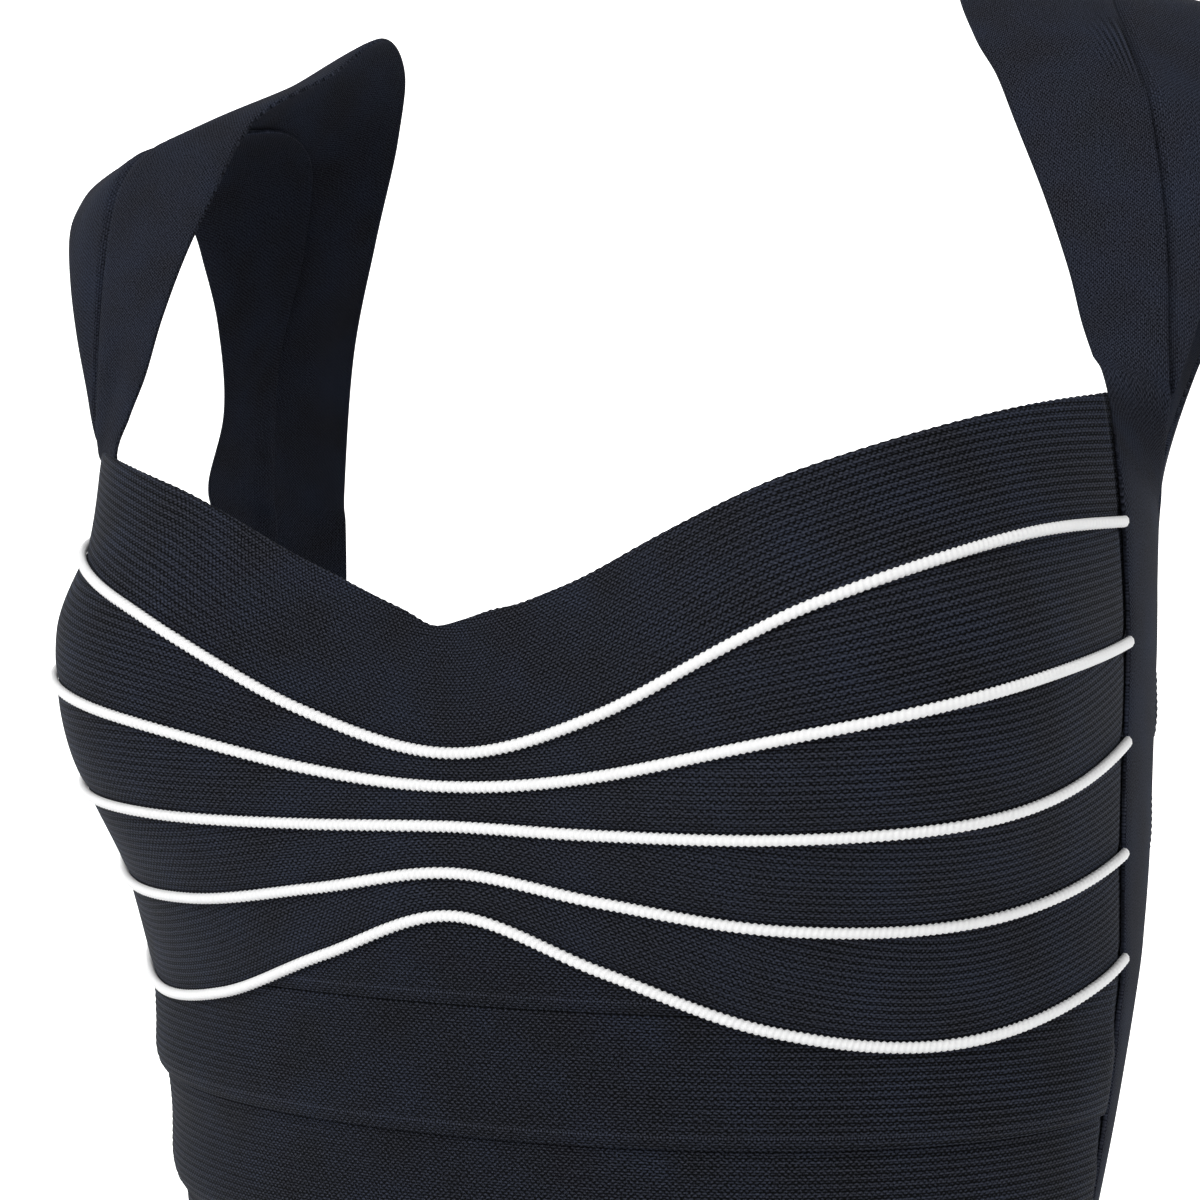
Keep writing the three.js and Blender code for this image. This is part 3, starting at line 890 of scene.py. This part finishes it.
def arm_wrinkle(index, spot, width):
    """Soft unevenness along the armhole strip, with a pinch where it turns under the arm."""
    slow = 0.4 * np.sin(1.3 * index + 3 * spot + 1) * np.sin(math.pi * spot)
    on_top = np.exp(-(((index - FIRST_STRAP - 6) / 1.3) ** 2))
    fine = 0.2 * on_top * np.sin(2 * math.pi * spot * width / 3.4)
    edge = np.clip((index - FIRST_STRAP) / 1.5, 0, 1) * np.clip((LAST_STATION - index) / 1.5, 0, 1)
    return (slow + fine * np.exp(-((spot / 0.35) ** 2))) * edge


def strip(name, first, second, trim, start, steps_below, steps_above, rows, wrinkle, mirror):
    """A strip between two edges of the stations, from the station where it starts up over the
    shoulder, with so many steps for each station below and above the corner."""
    below = np.arange(start, FIRST_STRAP, 1 / steps_below) if start < FIRST_STRAP else np.zeros(0)
    above = np.linspace(FIRST_STRAP, LAST_STATION, (LAST_STATION - FIRST_STRAP) * steps_above + 1)
    index = np.concatenate([below, above])
    part, inset, inward = section_ring(rows, INNER_ROWS)
    table = right_strap if mirror else left_strap
    section = (part, inset)
    shape = strip_points(table, index, section, inward, first, second, trim, wrinkle)
    points, uv, middle, width = shape
    if mirror:
        points = points * (-1, 1, 1)
    material = strap_knit if first is NECK else strip_knit
    made = add_mesh("knit_" + name, *swept(points, uv, flip=not mirror), material)
    flat = (float(width.max()) * MM, float(middle[-1]) / STRETCH * MM)
    area = area_under(width, middle) / STRETCH * MM * MM
    declare((made, flat, area), name)


side_parts = (NECK, SEAM, (0, SEAM_CLEARANCE), 0, 6, 14, 34, side_wrinkle)
armhole_parts = (SEAM, ARM, (-SEAM_TUCK, 0), ARMHOLE_START, 10, 14, 30, arm_wrinkle)
for side, mirror in (("left", False), ("right", True)):
    strip(f"side_strap_strip_{side}", *side_parts, mirror)
    strip(f"armhole_strip_{side}", *armhole_parts, mirror)


# Floor, lights and camera

# The floor glows softly behind the dress, so that it renders as white as the picture's background
GLOW_BACKWARDS = 0.5
GLOW_SIDEWAYS = -0.25
GLOW_START = 0.15
GLOW_RISE = 0.75
GLOW_LEAST = 0.08


def stage_floor(radius=3.2, rise=3.0, rings=48, around=96):
    """A plain pale floor whose rim sweeps up all round."""
    floor_level = cad_box[0][2] - 0.002
    turn = np.linspace(0, 2 * math.pi, around, endpoint=False)
    inner = np.linspace(0.02, radius, 12)
    sweep = np.linspace(0, math.pi / 2, rings - 12 + 1)[1:]
    out = np.concatenate([inner, radius + rise * np.sin(sweep)])
    up = np.concatenate([0 * inner, rise * (1 - np.cos(sweep))]) + floor_level
    points = [(r * math.cos(t), r * math.sin(t), z) for r, z in zip(out, up) for t in turn]
    faces = [tuple(range(around))]
    for i in range(len(out) - 1):
        here, beyond = i * around, (i + 1) * around
        for j in range(around):
            after = (j + 1) % around
            faces.append((here + j, beyond + j, beyond + after, here + after))
    mesh = bpy.data.meshes.new("stage_floor")
    mesh.from_pydata(points, [], faces)
    mesh.polygons.foreach_set("use_smooth", np.ones(len(mesh.polygons), bool))
    material, tree, shader = new_material("stage_paint")
    mottle = node(tree, "ShaderNodeTexNoise", {"Scale": 3.0})
    tone = node(
        tree,
        "ShaderNodeMix",
        {0: mottle.outputs[0], 6: (0.93, 0.93, 0.93, 1), 7: (0.95, 0.95, 0.95, 1)},
        data_type="RGBA",
    )
    tree.links.new(tone.outputs[2], shader.inputs["Base Color"])
    shader.inputs["Roughness"].default_value = 1.0
    shader.inputs["Specular IOR Level"].default_value = 0.0
    shader.inputs["Emission Color"].default_value = (1, 1, 1, 1)
    place = node(tree, "ShaderNodeSeparateXYZ", {0: node(tree, "ShaderNodeTexCoord").outputs["Object"]})
    backwards = maths(tree, "MULTIPLY", place.outputs[1], GLOW_BACKWARDS)
    back = maths(tree, "MULTIPLY_ADD", place.outputs[0], GLOW_SIDEWAYS, backwards)
    behind = node(tree, "ShaderNodeClamp", {0: maths(tree, "ADD", back, GLOW_START)})
    glow = maths(tree, "MULTIPLY_ADD", behind.outputs[0], GLOW_RISE, GLOW_LEAST)
    tree.links.new(glow, shader.inputs["Emission Strength"])
    mesh.materials.append(material)
    floor = bpy.data.objects.new("stage_floor", mesh)
    bpy.context.scene.collection.objects.link(floor)


def area_light(name, place, target, size, power):
    data = bpy.data.lights.new(name, "AREA")
    data.shape = "DISK"
    data.size = size
    data.energy = power
    light = bpy.data.objects.new(name, data)
    bpy.context.scene.collection.objects.link(light)
    away = np.array(place, float) - np.array(target, float)
    z = away / np.linalg.norm(away)
    x = np.cross((0, 0, 1), z)
    x /= np.linalg.norm(x)
    y = np.cross(z, x)
    light.matrix_world = Matrix([[x[i], y[i], z[i], place[i]] for i in range(3)] + [[0, 0, 0, 1]])


def world_light(strength):
    world = bpy.data.worlds.new("studio")
    bpy.context.scene.world = world
    world.use_nodes = True
    background = world.node_tree.nodes["Background"]
    background.inputs[0].default_value = (1, 1, 1, 1)
    background.inputs[1].default_value = strength


def camera():
    """Stands a little to the wearer's left of the front, level with the bust, close to the dress."""
    place = (0.2443, -0.5839, -0.1712)
    turn, tilt, roll = math.radians(23.384), math.radians(0.718), math.radians(0.258)
    ahead = np.array([-math.sin(turn) * math.cos(tilt), math.cos(turn) * math.cos(tilt), math.sin(tilt)])
    right = np.array([math.cos(turn), math.sin(turn), 0])
    up = np.cross(right, ahead)
    x = right * math.cos(roll) + up * math.sin(roll)
    y = up * math.cos(roll) - right * math.sin(roll)
    data = bpy.data.cameras.new("camera")
    data.sensor_width = 36
    data.lens = 71.815
    data.clip_start = 0.01
    made = bpy.data.objects.new("camera", data)
    bpy.context.scene.collection.objects.link(made)
    made.matrix_world = Matrix([[x[i], y[i], -ahead[i], place[i]] for i in range(3)] + [[0, 0, 0, 1]])
    bpy.context.scene.camera = made


stage_floor()
world_light(0.6)
area_light("key", (-0.5, -1.6, 1.1), (0, 0, -0.2), 0.9, 18)
area_light("fill", (1.7, -0.8, 0.5), (0, 0, -0.2), 0.9, 1.5)
area_light("back", (0.3, 1.8, 0.9), (0, 0, -0.3), 1.2, 6)
camera()
bpy.context.scene.view_settings.view_transform = "Standard"
